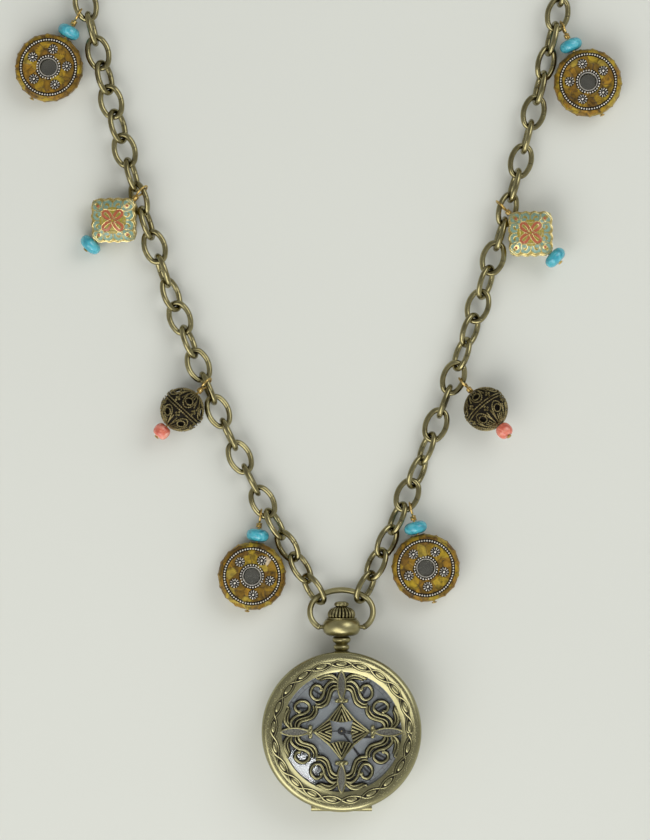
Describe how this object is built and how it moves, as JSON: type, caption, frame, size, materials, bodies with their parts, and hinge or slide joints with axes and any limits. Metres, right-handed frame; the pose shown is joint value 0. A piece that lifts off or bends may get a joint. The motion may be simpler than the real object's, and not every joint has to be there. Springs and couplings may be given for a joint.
{
  "type": "pendant watch",
  "caption": "Round hunter-cased pendant watch with a pierced hinged cover, on an oval-link neck chain hung with bead charms.",
  "frame": {"origin": "centre of the case back, on the surface the watch lies on", "axes": "face up: +Z out of the dial, +Y from the case centre towards the crown and along the chain, +X to the right of the dial"},
  "size_m": [0.1757, 0.3215, 0.0138],
  "materials": {
    "case_gold": "satin gold-toned plate",
    "cover_gold": "antiqued gold-toned plate",
    "polished_gold": "polished gold-toned plate",
    "crystal": "clear, polished",
    "spring_steel": "brushed",
    "dial_face": "silver-grey satin, printed",
    "hand_black": "black lacquer",
    "holder_plastic": "moulded",
    "movement_brass": "fine turned",
    "movement_steel": "fine ground",
    "battery_can": "bright rolled",
    "coil_wire": "enamelled copper",
    "magnet": "moulded",
    "board_green": "solder mask",
    "chain_gold": "polished gold-toned plate",
    "pin_gold": "drawn gold-toned wire",
    "disc_mosaic": "amber and brown chips in resin with silver-toned granules",
    "turquoise": "polished stone",
    "square_enamel": "ochre ground with enamel and wire work",
    "ball_filigree": "dark oxidised metal",
    "coral": "polished stone"
  },
  "bodies": {
    "case": {"case_back": "case_gold", "case_middle": "case_gold", "crystal": "crystal", "cover_hinge_pin": "polished_gold", "pendant_neck": "polished_gold", "dial": "dial_face", "movement_holder": "holder_plastic", "main_plate": "movement_brass", "train_bridge": "movement_steel", "bridge_screws": "movement_steel", "battery": "battery_can", "coil": "coil_wire", "stator": "movement_steel", "circuit_board": "board_green"},
    "cover": {"front_cover": "cover_gold"},
    "catch": {"cover_catch": "spring_steel"},
    "stem": {"winding_stem": "spring_steel"},
    "crown": {"crown": "polished_gold"},
    "bow": {"bow": "polished_gold"},
    "seconds": {"seconds_wheel": "movement_brass", "second_hand": "hand_black"},
    "rotor": {"rotor": "magnet"},
    "intermediate": {"intermediate_wheel": "movement_brass"},
    "third": {"third_wheel": "movement_brass"},
    "minutes": {"centre_wheel": "movement_brass", "minute_hand": "hand_black"},
    "motion": {"minute_wheel": "movement_brass"},
    "hours": {"hour_wheel": "movement_brass", "hour_hand": "hand_black"},
    "left_lower": {"left_chain_lower": "chain_gold"},
    "left_upper": {"left_chain_upper": "chain_gold"},
    "right_lower": {"right_chain_lower": "chain_gold"},
    "right_upper": {"right_chain_upper": "chain_gold", "clasp_body": "chain_gold"},
    "clasp_gate": {"clasp_lever": "chain_gold"},
    "lower_left_disc": {"lower_left_disc_pin": "pin_gold", "lower_left_disc_turquoise": "turquoise", "lower_left_disc_bead": "disc_mosaic"},
    "top_left_disc": {"top_left_disc_pin": "pin_gold", "top_left_disc_turquoise": "turquoise", "top_left_disc_bead": "disc_mosaic"},
    "lower_right_disc": {"lower_right_disc_pin": "pin_gold", "lower_right_disc_turquoise": "turquoise", "lower_right_disc_bead": "disc_mosaic"},
    "top_right_disc": {"top_right_disc_pin": "pin_gold", "top_right_disc_turquoise": "turquoise", "top_right_disc_bead": "disc_mosaic"},
    "left_square": {"left_square_pin": "pin_gold", "left_square_turquoise": "turquoise", "left_square_bead": "square_enamel"},
    "right_square": {"right_square_pin": "pin_gold", "right_square_turquoise": "turquoise", "right_square_bead": "square_enamel"},
    "left_ball": {"left_ball_pin": "pin_gold", "left_ball_coral": "coral", "left_ball_bead": "ball_filigree"},
    "right_ball": {"right_ball_pin": "pin_gold", "right_ball_coral": "coral", "right_ball_bead": "ball_filigree"}
  },
  "joints": [
    {"name": "cover_hinge", "type": "hinge", "parent": "case", "child": "cover", "pos_m": [0, -0.0219, 0.0099], "axis": [1, 0, 0], "range_deg": [0, 100]},
    {"name": "catch_flex", "type": "hinge", "parent": "case", "child": "catch", "pos_m": [0, 0.0205, 0.0026], "axis": [1, 0, 0], "range_deg": [0, 3.5], "stiffness_Nm_per_rad": 0.01},
    {"name": "stem_slide", "type": "slide", "parent": "case", "child": "stem", "axis": [0, 1, 0], "range_m": [-0.0003, 0.0008]},
    {"name": "crown_turn", "type": "hinge", "parent": "stem", "child": "crown", "pos_m": [0, 0.033, 0.0057], "axis": [0, 1, 0], "continuous": true},
    {"name": "bow_swing", "type": "hinge", "parent": "case", "child": "bow", "pos_m": [0, 0.0299, 0.0057], "axis": [1, 0, 0], "range_deg": [-70, 105]},
    {"name": "seconds_turn", "type": "hinge", "parent": "case", "child": "seconds", "pos_m": [0, 0, 0.0045], "axis": [0, 0, -1], "continuous": true},
    {"name": "rotor_turn", "type": "hinge", "parent": "case", "child": "rotor", "pos_m": [0.0032, 0.00605, 0.0045], "axis": [0, 0, -1], "continuous": true},
    {"name": "intermediate_turn", "type": "hinge", "parent": "case", "child": "intermediate", "pos_m": [0.0027, 0.00322, 0.0045], "axis": [0, 0, -1], "continuous": true},
    {"name": "third_turn", "type": "hinge", "parent": "case", "child": "third", "pos_m": [0.0014, -0.00383, 0.0045], "axis": [0, 0, -1], "continuous": true},
    {"name": "minutes_turn", "type": "hinge", "parent": "case", "child": "minutes", "pos_m": [0, 0, 0.0045], "axis": [0, 0, -1], "continuous": true},
    {"name": "motion_turn", "type": "hinge", "parent": "case", "child": "motion", "pos_m": [-0.003, 0, 0.0045], "axis": [0, 0, -1], "continuous": true},
    {"name": "hours_turn", "type": "hinge", "parent": "case", "child": "hours", "pos_m": [0, 0, 0.0045], "axis": [0, 0, -1], "continuous": true},
    {"name": "left_chain_swing", "type": "hinge", "parent": "bow", "child": "left_lower", "pos_m": [-0.00655, 0.03862, 0.00336], "axis": [0, 0, 1], "range_deg": [0, 12]},
    {"name": "left_chain_bend", "type": "hinge", "parent": "left_lower", "child": "left_upper", "pos_m": [-0.04745, 0.12101, 0.00376], "axis": [-0.1945, -0.0735, 0.9781], "range_deg": [0, 12]},
    {"name": "right_chain_swing", "type": "hinge", "parent": "bow", "child": "right_lower", "pos_m": [0.00575, 0.03906, 0.00325], "axis": [0, 0, -1], "range_deg": [0, 5]},
    {"name": "right_chain_bend", "type": "hinge", "parent": "right_lower", "child": "right_upper", "pos_m": [0.04012, 0.1245, 0.00376], "axis": [0.1977, -0.0643, -0.9781], "range_deg": [0, 12]},
    {"name": "clasp_press", "type": "hinge", "parent": "right_upper", "child": "clasp_gate", "pos_m": [-0.00272, 0.29501, 0.00376], "axis": [0, 0, 1], "range_deg": [0, 15], "stiffness_Nm_per_rad": 0.002},
    {"name": "lower_left_disc_lift", "type": "hinge", "parent": "left_lower", "child": "lower_left_disc", "pos_m": [-0.02336, 0.06223, 0.00376], "axis": [-0.8058, 0.5922, 0], "range_deg": [0, 15]},
    {"name": "top_left_disc_lift", "type": "hinge", "parent": "left_upper", "child": "top_left_disc", "pos_m": [-0.07585, 0.207, 0.00421], "axis": [-0.5372, 0.8417, 0.0554], "range_deg": [0, 40]},
    {"name": "lower_right_disc_lift", "type": "hinge", "parent": "right_lower", "child": "lower_right_disc", "pos_m": [0.02, 0.06427, 0.00392], "axis": [-0.7493, -0.6615, -0.03], "range_deg": [0, 15]},
    {"name": "top_right_disc_lift", "type": "hinge", "parent": "right_upper", "child": "top_right_disc", "pos_m": [0.0639, 0.20336, 0.0033], "axis": [-0.6329, -0.7686, 0.0933], "range_deg": [0, 20]},
    {"name": "left_square_lift", "type": "hinge", "parent": "left_upper", "child": "left_square", "pos_m": [-0.0573, 0.15602, 0.00562], "axis": [-0.4852, 0.848, -0.2133], "range_deg": [0, 60]},
    {"name": "right_square_lift", "type": "hinge", "parent": "right_upper", "child": "right_square", "pos_m": [0.04586, 0.15172, 0.00543], "axis": [-0.3571, -0.9321, 0.0611], "range_deg": [0, 75]},
    {"name": "left_ball_lift", "type": "hinge", "parent": "left_lower", "child": "left_ball", "pos_m": [-0.03871, 0.10039, 0.00648], "axis": [-0.4214, 0.8772, -0.2302], "range_deg": [0, 80]},
    {"name": "right_ball_lift", "type": "hinge", "parent": "right_lower", "child": "right_ball", "pos_m": [0.03507, 0.10059, 0.0035], "axis": [-0.3669, -0.9303, 0.0026], "range_deg": [0, 60]}
  ],
  "couplings": [
    {"joint": "rotor_turn", "follows": "seconds_turn", "ratio": 30},
    {"joint": "intermediate_turn", "follows": "seconds_turn", "ratio": -6},
    {"joint": "third_turn", "follows": "seconds_turn", "ratio": -0.13333},
    {"joint": "minutes_turn", "follows": "seconds_turn", "ratio": 0.016667},
    {"joint": "motion_turn", "follows": "seconds_turn", "ratio": -0.0055556},
    {"joint": "hours_turn", "follows": "seconds_turn", "ratio": 0.0013889}
  ]
}
